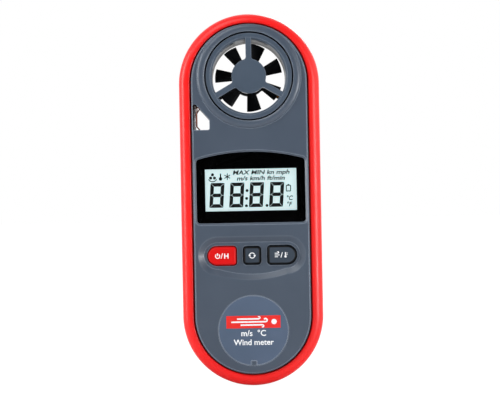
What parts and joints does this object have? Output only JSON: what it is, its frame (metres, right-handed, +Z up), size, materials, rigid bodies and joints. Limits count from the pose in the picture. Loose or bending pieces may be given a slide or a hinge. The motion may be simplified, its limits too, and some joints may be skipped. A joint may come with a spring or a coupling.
{
  "type": "handheld weather meter",
  "caption": "Pocket vane anemometer with a round ducted impeller, arched display window, three keys, a red frame between two grey shells and a coin-cell door.",
  "frame": {"origin": "under the middle of the lower end, midway between the crest of the vane rim and the rear face", "axes": "+Z up the length of the instrument towards the vane, +Y from the display side to the back, +X to the right seen from the display side"},
  "size_m": [0.0398, 0.0176, 0.105],
  "materials": {
    "red_plastic": "gloss",
    "grey_plastic": "satin, fine moulded texture",
    "guard_plastic": "satin",
    "black_plastic": "satin",
    "rotor_plastic": "satin",
    "bronze": "turned",
    "steel": "polished",
    "magnet": "nickel plated",
    "chip_plastic": "moulded",
    "flex_film": "polyimide film",
    "bead_glass": "glass bead",
    "copper_lead": "enamelled copper",
    "window_acrylic": "clear, gloss",
    "mask_ink": "printed",
    "lcd_glass": "clear",
    "reflector_film": "satin film",
    "guide_acrylic": "clear",
    "carrier_plastic": "moulded",
    "contact_rubber": "layered silicone",
    "board_laminate": "solder mask",
    "capacitor_ceramic": "ceramic",
    "screw_steel": "black oxide",
    "red_key": "satin",
    "dark_key": "satin silicone",
    "plunger_plastic": "moulded",
    "label_film": "satin, printed",
    "cell_steel": "rolled steel can",
    "contact_sheet": "nickel plated spring sheet"
  },
  "bodies": {
    "housing": {"red_frame": "red_plastic", "front_cover": "grey_plastic", "rear_cover": "grey_plastic", "front_guard": "guard_plastic", "rear_guard": "black_plastic", "front_bearing": "bronze", "rear_bearing": "bronze", "hall_sensor": "chip_plastic", "sensor_flex": "flex_film", "strap_post": "steel", "thermistor_bead": "bead_glass", "thermistor_leads": "copper_lead", "display_window": "window_acrylic", "window_mask": "mask_ink", "lcd_front_glass": "lcd_glass", "lcd_rear_glass": "lcd_glass", "lcd_reflector": "reflector_film", "light_guide": "guide_acrylic", "lcd_frame": "carrier_plastic", "zebra_strip": "contact_rubber", "main_board": "board_laminate", "driver_chip": "chip_plastic", "clock_crystal": "steel", "board_capacitors": "capacitor_ceramic", "switch_housings": "chip_plastic", "board_screws": "screw_steel", "case_screws": "screw_steel", "label_disc": "label_film", "coin_cell": "cell_steel", "positive_contact": "contact_sheet", "negative_contact": "contact_sheet"},
    "rotor": {"vane_rotor": "rotor_plastic", "rotor_shaft": "steel", "rotor_magnet": "magnet"},
    "power_button": {"power_key": "red_key", "power_plunger": "plunger_plastic"},
    "unit_button": {"unit_key": "dark_key", "unit_plunger": "plunger_plastic"},
    "mode_button": {"mode_key": "dark_key", "mode_plunger": "plunger_plastic"},
    "door": {"battery_door": "grey_plastic"}
  },
  "joints": [
    {"name": "rotor_spin", "type": "hinge", "parent": "housing", "child": "rotor", "pos_m": [0, 0, 0.0872], "axis": [0, 1, 0], "continuous": true},
    {"name": "power_press", "type": "slide", "parent": "housing", "child": "power_button", "axis": [0, 1, 0], "range_m": [0, 0.0003], "stiffness_N_per_m": 1500},
    {"name": "unit_press", "type": "slide", "parent": "housing", "child": "unit_button", "axis": [0, 1, 0], "range_m": [0, 0.0003], "stiffness_N_per_m": 1500},
    {"name": "mode_press", "type": "slide", "parent": "housing", "child": "mode_button", "axis": [0, 1, 0], "range_m": [0, 0.0003], "stiffness_N_per_m": 1500},
    {"name": "door_swing", "type": "hinge", "parent": "housing", "child": "door", "pos_m": [0, 0.0088, 0.012], "axis": [-1, 0, 0], "range_deg": [0, 75]}
  ]
}
